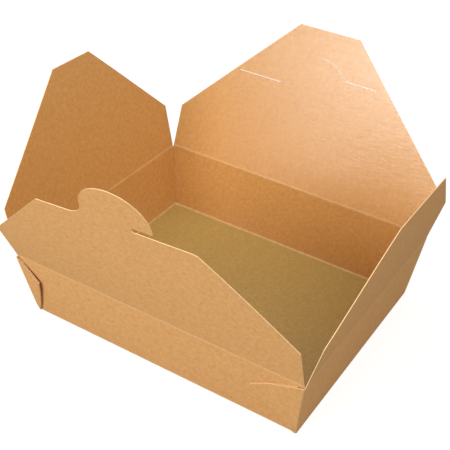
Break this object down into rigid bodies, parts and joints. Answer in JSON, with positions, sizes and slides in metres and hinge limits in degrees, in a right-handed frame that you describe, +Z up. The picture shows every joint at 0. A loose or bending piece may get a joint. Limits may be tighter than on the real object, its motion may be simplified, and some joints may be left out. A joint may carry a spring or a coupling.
{
  "type": "takeaway box",
  "caption": "Open shallow food box of folded kraft board: tapered tray, corner webs folded on the long walls, hinged lid flaps, a hook lock tab on the front flap and slits in the back flap.",
  "frame": {"origin": "centre of the underside of the base", "axes": "+Z up; X along the long side of the box; -Y towards the wall whose flap has the lock tab"},
  "size_m": [0.2507, 0.2461, 0.1565],
  "materials": {
    "kraft_board": "uncoated brown kraft outside, glossy film-lined kraft inside"
  },
  "bodies": {
    "tray": {"tray": "kraft_board"},
    "front_flap": {"front_flap": "kraft_board"},
    "back_flap": {"back_flap": "kraft_board"},
    "left_flap": {"left_flap": "kraft_board"},
    "right_flap": {"right_flap": "kraft_board"}
  },
  "joints": [
    {"name": "front_flap_crease", "type": "hinge", "parent": "tray", "child": "front_flap", "pos_m": [0, -0.084, 0.048], "axis": [1, 0, 0], "range_deg": [-104, 71]},
    {"name": "back_flap_crease", "type": "hinge", "parent": "tray", "child": "back_flap", "pos_m": [0, 0.084, 0.048], "axis": [-1, 0, 0], "range_deg": [-110.5, 69]},
    {"name": "left_flap_crease", "type": "hinge", "parent": "tray", "child": "left_flap", "pos_m": [-0.105, 0, 0.0473], "axis": [0, -1, 0], "range_deg": [-101, 79]},
    {"name": "right_flap_crease", "type": "hinge", "parent": "tray", "child": "right_flap", "pos_m": [0.105, 0, 0.0473], "axis": [0, 1, 0], "range_deg": [-104.5, 75.5]}
  ]
}
